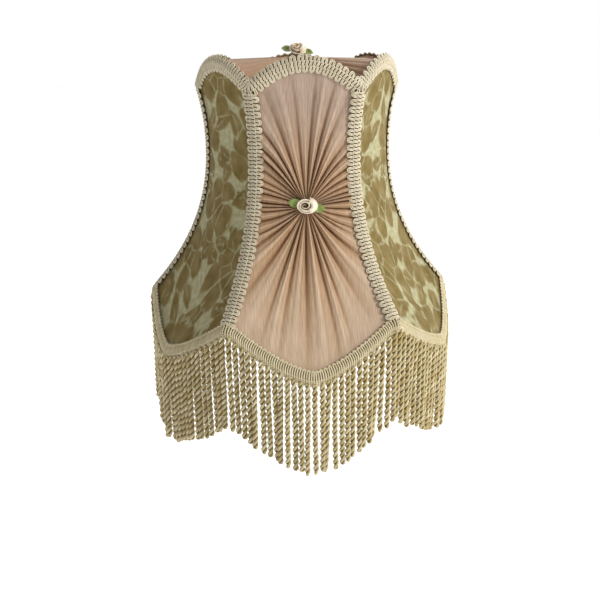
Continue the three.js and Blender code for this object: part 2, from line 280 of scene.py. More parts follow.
def sheet_mesh(name, points, uv, material, ring=False, body="shade", attributes=()):
    """A grid of points, rows by columns. A ring joins its last column to its first."""
    rows, columns = points.shape[:2]
    last = columns if ring else columns - 1
    i, j = np.meshgrid(np.arange(rows - 1), np.arange(last), indexing="ij")
    right = (j + 1) % columns
    here, below = i * columns, (i + 1) * columns
    faces = np.stack([here + j, below + j, below + right, here + right], -1).reshape(-1, 4)
    corners = uv.reshape(-1, 2)[faces]
    return finish_mesh(name, points.reshape(-1, 3), faces, corners, material, body, attributes)


def cord_mesh(name, paths, normals, radius, material, round_count=8, closed=False, body="shade"):
    """Round cords along paths of cords by points by three. The "facing" attribute is 1 on the side that
    faces along the normals and 0 on the hidden side, from which a material paints shade into the grooves."""
    cords, count = paths.shape[:2]
    if closed:
        forward = np.roll(paths, -1, 1) - np.roll(paths, 1, 1)
    else:
        forward = np.gradient(paths, axis=1)
    side = unit(np.cross(unit(forward), normals))
    lift = np.cross(side, unit(forward))
    angle = np.linspace(0, 2 * math.pi, round_count, endpoint=False)
    ring = side[:, :, None] * np.cos(angle)[:, None] + lift[:, :, None] * np.sin(angle)[:, None]
    radius = np.broadcast_to(np.asarray(radius, float), (cords, count))
    points = paths[:, :, None] + ring * radius[:, :, None, None]
    facing = np.broadcast_to(0.5 + 0.5 * np.sin(angle), (cords, count, round_count))
    base = (np.arange(cords) * count)[:, None, None]
    spans = count if closed else count - 1
    i = np.arange(spans)[None, :, None]
    k = np.arange(round_count)[None, None, :]
    following, turn = (i + 1) % count, (k + 1) % round_count
    place = [(i, k), (i, turn), (following, turn), (following, k)]
    faces = np.stack([(base + a) * round_count + b for a, b in place], -1).reshape(-1, 4)
    pieces = np.linalg.norm(np.diff(paths, axis=1), axis=-1)
    start = np.concatenate([np.zeros((cords, 1)), np.cumsum(pieces, axis=1)], 1)
    end = np.concatenate([start[:, 1:], start[:, -1:] + pieces.mean()], 1)[:, :spans, None]
    shift = (np.arange(cords) * 37.0)[:, None, None]
    start, end = start[:, :spans, None] + shift, end + shift
    girth = 2 * math.pi * radius[:, :spans, None] / round_count
    low, high = k * girth, (k + 1) * girth
    columns = [(start, low), (start, high), (end, high), (end, low)]
    uv = np.stack([np.stack(np.broadcast_arrays(a, b), -1) for a, b in columns], 3).reshape(-1, 4, 2)
    return finish_mesh(name, points.reshape(-1, 3), faces, uv, material, body, {"facing": facing})


# %% [markdown]
# Silk chiffon is a sheer plain weave of hard-twisted yarn. Gathered, its folds lie over each other and go
# darker where several sheer layers stack, while a single stretched layer looks pale and powdery. The mesh
# stores how high each point stands in its fold, and painted shade darkens the fold valleys from that.
# %% Silk chiffon
THREAD_STREAK = 0.7


def silk_chiffon():
    """Powdery and pale in one layer, deep brown where folds stack, with painted shade in the fold valleys;
    no hard highlight.
    """
    material, tree, shader = new_material("silk chiffon")
    layers_and_fold_shade = add_node(tree, "ShaderNodeAttribute", attribute_name="layers_and_fold_shade").outputs["Fac"]
    cool = add_node(tree, "ShaderNodeAttribute", attribute_name="cool").outputs["Fac"]
    warm_cloth = ramp(tree, layers_and_fold_shade, [(0, "#6b4728"), (0.3, "#9a7450"), (0.65, "#be9c7a"), (1, "#d8bfa3")])
    cool_cloth = ramp(tree, layers_and_fold_shade, [(0, "#5c4434"), (0.3, "#8d735f"), (0.65, "#ab927e"), (1, "#c2ab99")])
    cloth = add_node(tree, "ShaderNodeMix", {"Factor": cool}, data_type="RGBA")
    tree.links.new(warm_cloth, cloth.inputs["A"])
    tree.links.new(cool_cloth, cloth.inputs["B"])
    place = add_node(tree, "ShaderNodeUVMap", uv_map="metres").outputs["UV"]
    scale = (1 / (THREAD_STREAK * MM), 0.07 / (THREAD_STREAK * MM), 1)
    stretched = add_node(tree, "ShaderNodeMapping", {"Vector": place, "Scale": scale}).outputs["Vector"]
    streaks = add_node(tree, "ShaderNodeTexNoise", {"Vector": stretched, "Scale": 1.0, "Detail": 2.0})
    light = ramp(tree, streaks.outputs["Fac"], [(0.3, "#dedbd8"), (0.7, "#ffffff")])
    worn = add_node(tree, "ShaderNodeMix", {"Factor": 1.0}, data_type="RGBA", blend_type="MULTIPLY")
    tree.links.new(cloth.outputs["Result"], worn.inputs["A"])
    tree.links.new(light, worn.inputs["B"])
    tree.links.new(worn.outputs["Result"], shader.inputs["Base Color"])
    roughen(tree, shader, streaks.outputs["Fac"], 0.2, 0.0002)
    set_shader(shader, Roughness=0.6, Sheen_Weight=0.1, Specular_IOR_Level=0.2)
    return material


CHIFFON = silk_chiffon()

# %% [markdown]
# A sunburst panel is chiffon cut to the panel's shape with extra fullness at its middle. The rim is
# sewn round the frame and the fullness is drawn up on a thread to one point, so pleats run out from
# there. They are tight and deep at the middle, wider and softer outwards, and some die away before
# they reach the rim. It could be simulated, but a polar grid centred on the rosette follows the
# pleats exactly and puts its fine folds where they are close.
# %% Sunburst panels
FABRIC_OFFSET = 2.0
ROSETTE_DROP = 86
PANEL_LENGTH = 215
PLEATS = 38
PLEAT_DEPTH = 3.7
PLEAT_SPREAD = (0.5, 1.25)
KNOT_RADIUS = 7
FINE_PLEAT, FINE_COUNT = 0.34, 3


def pleat_profile(angle, random):
    """For each direction: place within its pleat, and the pleat's width, depth and reach. Depth and
    reach run smoothly from one pleat to the next, so that neighbours meet without a step."""
    widths = random.uniform(0.5, 1.6, PLEATS)
    edges = np.concatenate([[0], np.cumsum(widths)]) * 2 * math.pi / widths.sum()
    number = np.clip(np.searchsorted(edges, angle, side="right") - 1, 0, PLEATS - 1)
    within = (angle - edges[number]) / (edges[number + 1] - edges[number])
    middle = (edges[1:] + edges[:-1]) / 2
    spread = lambda values: np.interp(angle, middle, values, period=2 * math.pi)
    deep = spread(random.uniform(*PLEAT_SPREAD, PLEATS))
    reach = spread(random.uniform(38, 104, PLEATS)) * (1 + 0.3 * np.clip(-np.sin(angle), 0, 1))
    wander = spread(random.normal(0, 0.06, PLEATS))
    return within, deep, reach, wander


def ray_lengths(angle):
    """How far a straight ray from the rosette runs before it leaves the panel."""
    far = np.linspace(0, 160, 1600)
    x = far[None] * np.cos(angle)[:, None]
    t = ROSETTE_DROP / RIB_HEIGHT + far[None] * np.sin(angle)[:, None] / PANEL_LENGTH
    half = corner_radius(np.clip(t, 0, 1) * RIB_HEIGHT) * SIN_HALF
    inside = (np.abs(x) <= half) & (t >= 0) & (t <= 1)
    return far[np.argmin(inside, axis=1) - 1]


def sunburst_panel(number, panel):
    random = np.random.default_rng(20 + number)
    angle = np.linspace(0, 2 * math.pi, PLEATS * 22, endpoint=False)
    share = np.linspace(0.02, 1, 120)[:, None] ** 1.4
    r = share * ray_lengths(angle)[None]
    within, deep, reach, wander = pleat_profile(angle, random)
    bearing = angle + (wander + 0.03 * np.sin(3 * angle + number)) * share * (1 - share)
    x = r * np.cos(bearing)
    t = np.clip(ROSETTE_DROP / RIB_HEIGHT + r * np.sin(bearing) / PANEL_LENGTH, 0, 1)
    u = np.clip(x / (corner_radius(t * RIB_HEIGHT) * SIN_HALF), -1, 1)
    softness = np.exp(-((r / reach) ** 2.0))
    ridge = (np.abs(np.sin(math.pi * within)) ** 0.85)[None]
    fine = (np.abs(np.sin(math.pi * FINE_COUNT * within)) * np.sin(math.pi * within) ** 0.5)[None]
    edge_room = np.clip((1 - np.abs(u)) * 6, 0.25, 1) * np.clip(np.minimum(t, 1 - t) * 14, 0.2, 1)
    start = 1 - np.exp(-r / 8)
    height = PLEAT_DEPTH * deep * start * softness * edge_room
    seat = 0.4 * PLEAT_DEPTH * start * np.exp(-((r / 60) ** 2)) * edge_room
    gather = 2.0 * np.exp(-r / KNOT_RADIUS)
    lift = np.maximum(height * (ridge + FINE_PLEAT * fine) - seat, -1.4)
    points = surface(panel, u, t) + outward(panel, u, t) * (FABRIC_OFFSET + lift + gather)[..., None]
    # Colour of the folds: the cloth deepens where several sheer layers stack round the rose, and painted
    # shade darkens the bottoms of the pleats and fine pleats. Next to the side gimp in the upper half the
    # cloth is darker, partly from deeper layers and partly as painted shadow. The upper part takes a cooler,
    # darker set of colours.
    stacked = np.exp(-((r / 62) ** 1.6))
    near = 0.5 + 0.5 * np.clip(r / 28, 0, 1)
    valley_shade = (1 - ridge) ** 0.8 * softness * near * np.clip(0.42 + 0.36 * deep, 0, 0.85)
    layers_and_fold_shade = 1.0 - 0.24 * stacked - valley_shade - 0.16 * (1 - fine) * softness * near
    layers_and_shade_beside_gimp = np.clip((np.abs(u) - 0.80) / 0.20, 0, 1) * np.clip((0.62 - t) / 0.2, 0, 1)
    layers_and_fold_shade = layers_and_fold_shade - 0.34 * layers_and_shade_beside_gimp
    cool = np.clip((0.40 - t) / 0.26, 0, 1)
    uv = np.stack([x, t * PANEL_LENGTH], -1)
    shades = {"layers_and_fold_shade": np.clip(layers_and_fold_shade, 0, 1), "cool": cool}
    made = sheet_mesh(f"silk_sunburst_{number}", points, uv, CHIFFON, ring=True, attributes=shades)
    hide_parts(f"silk_panel_{number}")
    return made


sunbursts = [sunburst_panel(k + 1, 2 * k) for k in range(3)]
print("pleats in each sunburst panel", PLEATS)

# %% [markdown]
# Devoré velvet has a silk ground and a viscose pile. A paste burns the pile away along the drawing,
# which leaves raised velvet flowers on a thin bare ground. The pile is a real step of half a
# millimetre in the mesh. Petals are ellipses and leaves are lens shapes; wherever two shapes meet,
# a narrow line stays bare.
# %% Devoré velvet
PILE_HEIGHT = 0.5
BARE_LINE = 1.5
BURN_EDGE = 0.42
FLOWER_GAP, FLOWER_ROW = 68, 50


def devore_velvet():
    """Deep soft pile that lightens at grazing angles, on a thin matt ground."""
    material, tree, shader = new_material("devore velvet")
    pile = add_node(tree, "ShaderNodeAttribute", attribute_name="pile").outputs["Fac"]
    place = add_node(tree, "ShaderNodeUVMap", uv_map="metres").outputs["UV"]
    cloudy = add_node(tree, "ShaderNodeTexNoise", {"Vector": place, "Scale": 75.0, "Detail": 3.0})
    velvet = ramp(tree, cloudy.outputs["Fac"], [(0.32, "#6f5d2c"), (0.5, "#7e6c3f"), (0.7, "#8c7b50")])
    fine = add_node(tree, "ShaderNodeTexNoise", {"Vector": place, "Scale": 260.0, "Detail": 3.0})
    ground = ramp(tree, fine.outputs["Fac"], [(0.3, "#9a936c"), (0.55, "#aea884"), (0.75, "#bfbb9c")])
    cloth = add_node(tree, "ShaderNodeMix", {"Factor": pile}, data_type="RGBA")
    tree.links.new(ground, cloth.inputs["A"])
    tree.links.new(velvet, cloth.inputs["B"])
    tree.links.new(cloth.outputs["Result"], shader.inputs["Base Color"])
    nap = add_node(tree, "ShaderNodeTexNoise", {"Vector": place, "Scale": 1500.0, "Detail": 2.0})
    roughen(tree, shader, nap.outputs["Fac"], 0.3, 0.0003)
    set_shader(shader, Roughness=0.9, Sheen_Weight=0.06, Sheen_Roughness=0.5, Specular_IOR_Level=0.1)
    return material


def ripple(x, y, random, wave):
    """A smooth random field between about -1 and 1, made of a few crossing waves."""
    total = np.zeros(np.broadcast(x, y).shape)
    for _ in range(6):
        heading, phase = random.uniform(0, 2 * math.pi, 2)
        length = wave * random.uniform(0.6, 1.6)
        total += np.sin((x * math.cos(heading) + y * math.sin(heading)) * 2 * math.pi / length + phase)
    return total / 3


def petal_depth(x, y, centre, length, width, angle):
    """How deep each point lies inside a petal, in mm. Its outer end is the broader one."""
    dx, dy = x - centre[0], y - centre[1]
    along = dx * math.cos(angle) + dy * math.sin(angle)
    across = -dx * math.sin(angle) + dy * math.cos(angle)
    width = width * (1 + 0.3 * np.clip(along / length, -1, 1))
    return (1 - np.sqrt((along / length) ** 2 + (across / width) ** 2)) * min(length, 11)


def leaf_depth(x, y, base, length, width, angle):
    """How deep each point lies inside a pointed leaf, with part of its midrib left bare."""
    dx, dy = x - base[0], y - base[1]
    along = (dx * math.cos(angle) + dy * math.sin(angle)) / length
    across = -dx * math.sin(angle) + dy * math.cos(angle) + 2.5 * np.sin(math.pi * along)
    inside = width * np.sin(math.pi * np.clip(along, 0, 1)) ** 0.8 * (1 - 0.25 * along) - np.abs(across)
    rib = np.abs(across) + 8 * np.clip(along - 0.5, 0, 1) + 8 * np.clip(0.2 - along, 0, 1) - 0.45
    return np.where((along > 0) & (along < 1), np.minimum(inside, rib), -5)


def flower_shapes(x, y, centre, size, turn):
    """A full flower: broad outer petals round a heart of two more."""

    def petal(share, angle, length, width):
        away = share * size
        middle = (centre[0] + away * math.cos(angle), centre[1] + away * math.sin(angle))
        return petal_depth(x, y, middle, length * size, width * size, angle)

    outer = [turn + k * 2 * math.pi / 5 + 0.25 * math.sin(7 * k + turn) for k in range(5)]
    heart = [turn + 0.6, turn + 3.7]
    return [petal(0.64, a, 0.41, 0.39) for a in outer] + [petal(0.18, a, 0.24, 0.28) + 0.6 for a in heart]


def velvet_drawing(x, y, number):
    """Depth inside the pile in mm: positive on velvet, negative on bare ground."""
    random = np.random.default_rng(40 + number)
    bend_x, bend_y = ripple(x, y, random, 60), ripple(x, y, random, 60)
    x, y = x + 3.0 * bend_x, y + 3.0 * bend_y
    shapes = []
    leaves = np.full(x.shape, -5.0)
    seeds = np.full(x.shape, -5.0)
    shift = random.uniform(0, FLOWER_ROW)
    for row in range(-1, 6):
        for column in (-1, 0, 1):
            across = column * FLOWER_GAP + FLOWER_GAP / 2 * (row % 2) + random.uniform(-5, 5)
            centre = (across, row * FLOWER_ROW + shift + random.uniform(-4, 4))
            size, turn = random.uniform(23, 28), random.uniform(0, math.pi)
            shapes += flower_shapes(x, y, centre, size, turn)
            for k in range(5):
                angle = turn + 0.6 + k * 2 * math.pi / 5 + random.uniform(-0.2, 0.2)
                base = (centre[0] + 0.9 * size * math.cos(angle), centre[1] + 0.9 * size * math.sin(angle))
                lean = angle + random.uniform(-0.6, 0.6)
                leaf = leaf_depth(x, y, base, random.uniform(19, 28), random.uniform(5.5, 8), lean)
                leaves = np.maximum(leaves, leaf)
            for k in range(7):
                angle, away = turn + random.uniform(0, 1.1), random.uniform(1.0, 1.35) * size
                seed = (centre[0] + away * math.cos(angle), centre[1] + away * math.sin(angle))
                seeds = np.maximum(seeds, petal_depth(x, y, seed, 1.6, 1.6, 0.0))
    ordered = np.sort(np.stack(shapes + [leaves, seeds]), axis=0)
    line = BARE_LINE * np.clip(0.75 + 0.5 * ripple(x, y, random, 30), 0.2, 1.5)
    between = (ordered[-1] - ordered[-2]) * 0.7 - line / 2 + np.where(ordered[-2] < 0, 4.0, 0.0)
    return np.minimum(ordered[-1] + 0.3 + 0.4 * ripple(x, y, random, 7), between)


VELVET = devore_velvet()


def velvet_panel(number, panel):
    u = np.linspace(-1, 1, 240)[None]
    t = np.linspace(0, 1, 400)[:, None]
    half = corner_radius(t * RIB_HEIGHT) * SIN_HALF
    x, y = np.broadcast_arrays(u * half, t * PANEL_LENGTH)
    pile = 1 / (1 + np.exp(-velvet_drawing(x, y, number) / BURN_EDGE))
    drawn = 0.7 * np.exp(-y / 20) * np.sin((x + y * 0.25) * 2 * math.pi / 9) * np.clip(u, 0, 1)
    level = FABRIC_OFFSET - 0.2 + PILE_HEIGHT * pile + drawn * np.clip((1 - np.abs(u)) * 8, 0, 1)
    points = surface(panel, u, t) + outward(panel, u, t) * level[..., None]
    uv = np.stack([x, y], -1)
    made = sheet_mesh(f"devore_velvet_{number}", points, uv, VELVET, attributes={"pile": pile})
    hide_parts(f"velvet_panel_{number}")
    print(made.name, "is", round(float(pile.mean()) * 100), "percent pile")
    return made


velvets = [velvet_panel(k + 1, 2 * k + 1) for k in range(3)]

# %% [markdown]
# The top is a round of the same chiffon, drawn up to its middle. It rides high at the arches, dips
# to the corners and goes over the top wire, where it is sewn down under the gimp. Its folds run in
# to the rose. Straight lines from the arched edge to the crown give the shape, with folds on top.
# %% Gathered top
CROWN_HEIGHT = 20
TOP_FOLDS = 64
TOP_FOLD_DEPTH = 1.4
TOP_FOLD_MEAN = 0.6
TOP_TURN_OVER = 2.3
WIRE_CLEARANCE = 2.2


def top_cover():
    columns = TOP_FOLDS * 12
    turn = np.linspace(0, SIDES, columns, endpoint=False)
    panel = np.floor(turn)
    edge = surface(panel, 2 * (turn - panel) - 1, 0)
    share = np.concatenate([np.linspace(0.015, 0.92, 50), np.linspace(0.925, 1.0, 22)])[:, None]
    crown = FITTER_DEPTH + CROWN_HEIGHT
    over_wire = unit(outward(panel, 2 * (turn - panel) - 1, 0.0)[:, :2])
    sewn_over = TOP_TURN_OVER * np.clip((share - 0.93) / 0.07, 0, 1) ** 2
    beyond_wire = (share - 1) * TOP_RADIUS + sewn_over
    over_lift = WIRE_CLEARANCE * np.exp(-((beyond_wire / WIRE_CLEARANCE) ** 2))
    round_way = turn * 2 * math.pi / SIDES
    phase = turn / SIDES * TOP_FOLDS + 0.6 * np.sin(5 * round_way) + 0.4 * np.sin(11 * round_way + 1)
    ridge = np.abs(np.sin(math.pi * phase)) ** 0.8
    strength = TOP_FOLD_MEAN + 0.4 * np.sin(turn * 2 * math.pi / SIDES * 7)
    height = TOP_FOLD_DEPTH * strength * np.minimum(1, share * 5) * (1.1 - 0.6 * share)
    z = crown + (edge[:, 2] - crown) * share + height * (ridge - 0.5) + 1.0 * np.exp(-share * 14) + over_lift
    x = edge[:, 0] * share + over_wire[:, 0] * sewn_over
    y = edge[:, 1] * share + over_wire[:, 1] * sewn_over
    points = np.stack([x, y, z], -1)
    # Painted shade darkens the fold valleys of the top. The whole top sits low on the colour ramp and gets
    # darker towards the crown.
    layers_and_fold_shade = 0.43 - 0.46 * strength * (1 - ridge) * (1.1 - 0.45 * share) - 0.15 * np.exp(-share * 6)
    uv = np.stack(np.broadcast_arrays(turn / SIDES * 500, share * 75), -1)
    shades = {"layers_and_fold_shade": np.clip(layers_and_fold_shade, 0, 1), "cool": np.zeros(layers_and_fold_shade.shape)}
    made = sheet_mesh("gathered_top", points, uv, CHIFFON, ring=True, attributes=shades)
    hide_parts("top_cover")
    return made


gathered_top = top_cover()
print("the top has", TOP_FOLDS, "folds and clears the wire's middle by", WIRE_CLEARANCE, "mm")

# %% [markdown]
# The lining hides the wires from inside. It is plain ivory cotton, stretched from the top wire to
# the bottom wire behind each panel, with one more piece under the top.
# %% Cotton lining
LINING_OFFSET = -2.1


def ivory_cotton():
    """Flat and chalky: a plain weave with no gloss, a little uneven in colour."""
    material, tree, shader = new_material("ivory cotton lining")
    place = add_node(tree, "ShaderNodeUVMap", uv_map="metres").outputs["UV"]
    weave = add_node(tree, "ShaderNodeTexNoise", {"Vector": place, "Scale": 1200.0, "Detail": 2.0})
    colour = ramp(tree, weave.outputs["Fac"], [(0.3, "#e0d4ba"), (0.7, "#f2ead8")])
    tree.links.new(colour, shader.inputs["Base Color"])
    roughen(tree, shader, weave.outputs["Fac"], 0.3, 0.0002)
    set_shader(shader, Roughness=0.9)
    return material


COTTON = ivory_cotton()


def lining_panel(number):
    u = np.linspace(-0.985, 0.985, 40)[None]
    t = np.linspace(0.02, 0.995, 70)[:, None]
    half = corner_radius(t * RIB_HEIGHT) * SIN_HALF
    points = surface(number - 1, u, t) + outward(number - 1, u, t) * LINING_OFFSET
    uv = np.stack(np.broadcast_arrays(u * half, t * PANEL_LENGTH), -1)
    made = sheet_mesh(f"cotton_lining_{number}", points, uv, COTTON)
    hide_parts(f"lining_{number}")
    return made


def lining_top():
    turn = np.linspace(0, SIDES, 240, endpoint=False)
    panel = np.floor(turn)
    edge = surface(panel, 2 * (turn - panel) - 1, 0)
    share = np.linspace(0.01, 0.93, 24)[:, None]
    crown = FITTER_DEPTH + CROWN_HEIGHT - 4
    z = crown + (edge[:, 2] - 4 - crown) * share
    points = np.stack([edge[:, 0] * share, edge[:, 1] * share, z], -1)
    uv = np.broadcast_to(points[..., :2], points.shape[:2] + (2,))
    made = sheet_mesh("cotton_lining_top", points, uv, COTTON, ring=True)
    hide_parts("top_lining")
    return made


linings = [lining_panel(number) for number in range(1, SIDES + 1)]
top_lining = lining_top()
print("lining pieces", len(linings) + 1)

# %% [markdown]
# Gimp is a flat braid of smooth rayon cord. A doubled cord runs to and fro between the edges in close loops,
# and two warp cords hold its bars, which leaves three rows of small slits. A dark sheet behind the braid
# paints the shade seen through them. It could be a bumped strip, but the loops stand out at the edges, so
# each cord is swept. The band is laid out flat as (distance along, distance across, height) and is then bent
# onto a line on the shade.
# %% Rayon gimp cord
GIMP_WIDTH = 13.0
GIMP_LOOP = 5.6
GIMP_CORD = 0.55
GIMP_PAIR = 0.50
GIMP_WARP, GIMP_WARP_PLACE = 0.36, 0.34
GIMP_OFFSET = 3.5


def rayon_cord(name, light, dark, groove_shade):
    """Smooth cord with a quiet gloss. Its yarns show as fine slanting lines, and painted shade darkens its
    grooves.
    """
    material, tree, shader = new_material(name)
    place = add_node(tree, "ShaderNodeUVMap", uv_map="metres").outputs["UV"]
    facing = add_node(tree, "ShaderNodeAttribute", attribute_name="facing").outputs["Fac"]
    yarns = add_node(tree, "ShaderNodeTexWave", {"Vector": place, "Scale": 550.0, "Distortion": 1.0},
                     bands_direction="DIAGONAL")
    cloudy = add_node(tree, "ShaderNodeTexNoise", {"Vector": place, "Scale": 60.0, "Detail": 2.0})
    colour = ramp(tree, cloudy.outputs["Fac"], [(0.35, dark), (0.65, light)])
    # Painted shade: the hidden side of each cord, where it presses on its neighbours, takes the groove
    # colour.
    groove_shade_mask = ramp(tree, facing, [(0.15, "#ffffff"), (0.24, groove_shade), (0.32, groove_shade), (0.66, "#ffffff")])
    shaded = add_node(tree, "ShaderNodeMix", {"Factor": 1.0}, data_type="RGBA", blend_type="MULTIPLY")
    tree.links.new(colour, shaded.inputs["A"])
    tree.links.new(groove_shade_mask, shaded.inputs["B"])
    tree.links.new(shaded.outputs["Result"], shader.inputs["Base Color"])
    roughen(tree, shader, yarns.outputs["Fac"], 0.3, 0.0002)
    set_shader(shader, Roughness=0.5, Sheen_Weight=0.1, Specular_IOR_Level=0.3)
    return material


def braid_sheet_colour(name, dark, light):
    """Coarse dull cloth colour for a sheet behind a braid: the dark one paints the shade seen through the
    slits, the paler one lies on the back of the top braid.
    """
    material, tree, shader = new_material(name)
    place = add_node(tree, "ShaderNodeUVMap", uv_map="metres").outputs["UV"]
    weave = add_node(tree, "ShaderNodeTexNoise", {"Vector": place, "Scale": 900.0, "Detail": 2.0})
    colour = ramp(tree, weave.outputs["Fac"], [(0.3, dark), (0.7, light)])
    tree.links.new(colour, shader.inputs["Base Color"])
    shader.inputs["Roughness"].default_value = 0.9
    return material


# Ivory rayon gives the braid its pale gloss, and its third colour is painted shade in the cords' grooves.
# The dark sheet under the braid paints the shade seen through its slits.
GIMP = rayon_cord("ivory rayon gimp cord", "#ddd2b8", "#c8bb9d", "#5f5036")
SLIT_SHADE_SHEET = braid_sheet_colour("dark sheet painting shade in braid slits", "#4a3b20", "#7a6740")
BACK_TAPE = braid_sheet_colour("linen tape on the back of braid", "#7d7052", "#9a8c6a")
print("gimp cord is", 2 * GIMP_CORD, "mm thick in a braid", GIMP_WIDTH, "mm wide")


def bars_across(length, left, right, pitch, wave=0.0, closed=False):
    """A cord that runs to and fro between two edges with round turns: (along, across, sideways)."""
    bars = 2 * int(round(length / pitch))
    step = length / bars
    turn = step / 2
    bow = np.linspace(-math.pi / 2, math.pi / 2, 7)
    straight = np.linspace(0, 1, 9)[1:-1]
    along, across = [], []
    for k in range(bars):
        near, far, sign = (left + turn, right - turn, 1) if k % 2 == 0 else (right - turn, left + turn, -1)
        here = near + (far - near) * straight
        along.append(k * step + wave * np.sin(2 * math.pi * (here - left) / (right - left) * 3))
        across.append(here)
        along.append((k + 0.5) * step + turn * np.sin(bow))
        across.append(far + sign * turn * np.cos(bow))
    along, across = np.concatenate(along), np.concatenate(across)
    period = length if closed else 0
    ahead = np.stack([np.roll(along, -1) - np.roll(along, 1), np.roll(across, -1) - np.roll(across, 1)], -1)
    ahead[0, 0] += period
    ahead[-1, 0] += period
    if not closed:
        ahead[0], ahead[-1] = ahead[1], ahead[-2]
    ahead = unit(ahead)
    return along, across, np.stack([-ahead[:, 1], ahead[:, 0]], -1)


def braid_line(centre, outwards, closed, hanging=False):
    """A line to lay a braid on: points, outward directions and the direction across the braid. A
    hanging braid drops plumb below the line, whatever the slope above it is. Lengths are measured
    where the braid lies, outside the wire, so its bars stay evenly spaced."""
    step = float(np.median(np.linalg.norm(np.diff(centre, axis=0, append=centre[:1]), axis=1)))

    def smooth(values, reach):
        kernel = np.hanning(int(reach / step) + 5)[1:-1]
        kernel /= kernel.sum()
        edge = len(kernel)
        padded = np.pad(values, ((edge, edge), (0, 0)), mode="wrap" if closed else "edge")
        return np.stack([np.convolve(padded[:, k], kernel, "same")[edge:-edge] for k in range(3)], -1)

    forward = (np.roll(centre, -1, 0) - np.roll(centre, 1, 0)) if closed else np.gradient(centre, axis=0)
    outwards, forward = unit(smooth(outwards, 5)), unit(smooth(forward, 4))
    laid = centre + outwards * GIMP_OFFSET
    gap = np.linalg.norm(np.diff(laid, axis=0, append=laid[:1]), axis=1)
    across = unit(np.cross(forward, outwards))
    if across[len(across) // 2, 2] > 0 and hanging:
        across = -across
    below, level = across, outwards
    if hanging:
        level = unit(outwards * [1, 1, 0])
        below = np.broadcast_to([0.0, 0.0, -1.0], centre.shape)
    values = [centre, outwards, across, level, below]
    length = np.concatenate([[0], np.cumsum(gap)])
    if closed:
        values = [np.concatenate([v, v[:1]]) for v in values]
    else:
        length = length[:-1]
    return {"length": length, "values": values, "closed": closed, "total": float(length[-1])}


def lay_on(line, along, across, height, fold_back=0.0):
    """Turns flat braid coordinates into places on the shade. fold_back bends both edges back over a
    corner, and the line's roll bends only the edge on that side, over the wire."""
    if line["closed"]:
        along = np.mod(along, line["total"])
    pick = lambda values: np.stack([np.interp(along, line["length"], values[:, k]) for k in range(3)], -1)
    centre, outwards, sideways, level, below = [pick(values) for values in line["values"]]
    hang = (1 / (1 + np.exp(-across / 0.8)))[..., None]
    out = unit(outwards * (1 - hang) + level * hang)
    roll = line.get("roll", 0.0)
    rolled = np.minimum(across * np.sign(roll), 0) * np.sign(roll)
    reach = across - 0.25 * rolled
    upper, lower = np.minimum(reach, 0)[..., None], np.maximum(reach, 0)[..., None]
    bend = fold_back * (np.sqrt(across**2 + 4) - 2) + abs(roll) * (np.sqrt(rolled**2 + 4) - 2)
    points = centre + sideways * upper + below * lower + out * (height - bend)[..., None]
    tilt = fold_back * np.tanh(across / 3) + abs(roll) * np.tanh(rolled / 3)
    return points, unit(out + sideways * tilt[..., None])


def join(name, parts, node):
    with bpy.context.temp_override(active_object=parts[0], selected_editable_objects=parts):
        bpy.ops.object.join()
    made = parts[0]
    made.name = made.data.name = name
    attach(made, "shade")
    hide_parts(node)
    return made


def sheet_under_braid(line, left, right, height, fold_back=0.0, material=None):
    along = np.linspace(0, line["total"], int(line["total"] / 2))
    across = np.linspace(left, right, 9)
    level = np.full(along.shape, height)
    strip = [lay_on(line, along, np.full(along.shape, x), level, fold_back)[0] for x in across]
    uv = np.stack(np.broadcast_arrays(along[None], across[:, None]), -1)
    return sheet_mesh("tape", np.stack(strip), uv, material or SLIT_SHADE_SHEET, body=None)


def warp_cord(line, across, height, radius, material, fold_back=0.0, knot=0.0, pitch=1.75):
    """A thin cord that runs along a braid and dips between its bars."""
    along = np.linspace(0, line["total"], int(line["total"] * 4 / pitch), endpoint=not line["closed"])
    level = height + knot * np.cos(along * 2 * math.pi / pitch)
    points, normals = lay_on(line, along, np.full(along.shape, across), level, fold_back)
    return cord_mesh("warp", points[None], normals[None], radius, material, 6, line["closed"], body=None)


def lay_gimp(name, line, node, fold_back=0.0, shift=0.0, backed=False):
    half = GIMP_WIDTH / 2 - GIMP_CORD
    along, across, sideways = bars_across(line["total"], -half, half, GIMP_LOOP, 0.35, line["closed"])
    parts = []
    for offset in (-GIMP_PAIR, GIMP_PAIR):
        a, c = along + sideways[:, 0] * offset, across + sideways[:, 1] * offset
        level = GIMP_OFFSET + 0.30 * np.cos(c * 2 * math.pi / 4.3)
        points, normals = lay_on(line, a, c + shift, level, fold_back)
        loops = points[None], normals[None]
        parts.append(cord_mesh(name, *loops, GIMP_CORD, GIMP, 8, line["closed"], body=None))
    for across in (-half * GIMP_WARP_PLACE, half * GIMP_WARP_PLACE):
        place = (across + shift, GIMP_OFFSET + 0.15, GIMP_WARP)
        parts.append(warp_cord(line, *place, GIMP, fold_back, 0.35, GIMP_LOOP / 2))
    # A dark sheet under the cords paints the shade in the braid's slits.
    parts.append(sheet_under_braid(line, 1 - half + shift, half - 1 + shift, GIMP_OFFSET - 0.75, fold_back))
    if backed:
        parts.append(sheet_under_braid(line, 0.6 - half + shift, 0.5, GIMP_OFFSET - 1.3, fold_back, BACK_TAPE))
    return join(name, parts, node)

# %% [markdown]
# One length of gimp covers each rib, bent over the corner where two panels meet. One longer length
# runs round the top: its lower half lies on the panels and its upper half rolls back over the wire.
# %% Gimp on the ribs and round the top
RIB_FOLD_BACK = 0.42
TOP_ROLL = 0.9
HEADER_ABOVE, HEADER_BELOW, GIMP_OVERHANG = 4.5, 5.5, 6.0
GIMP_CENTRE = GIMP_WIDTH / 2 - GIMP_OVERHANG


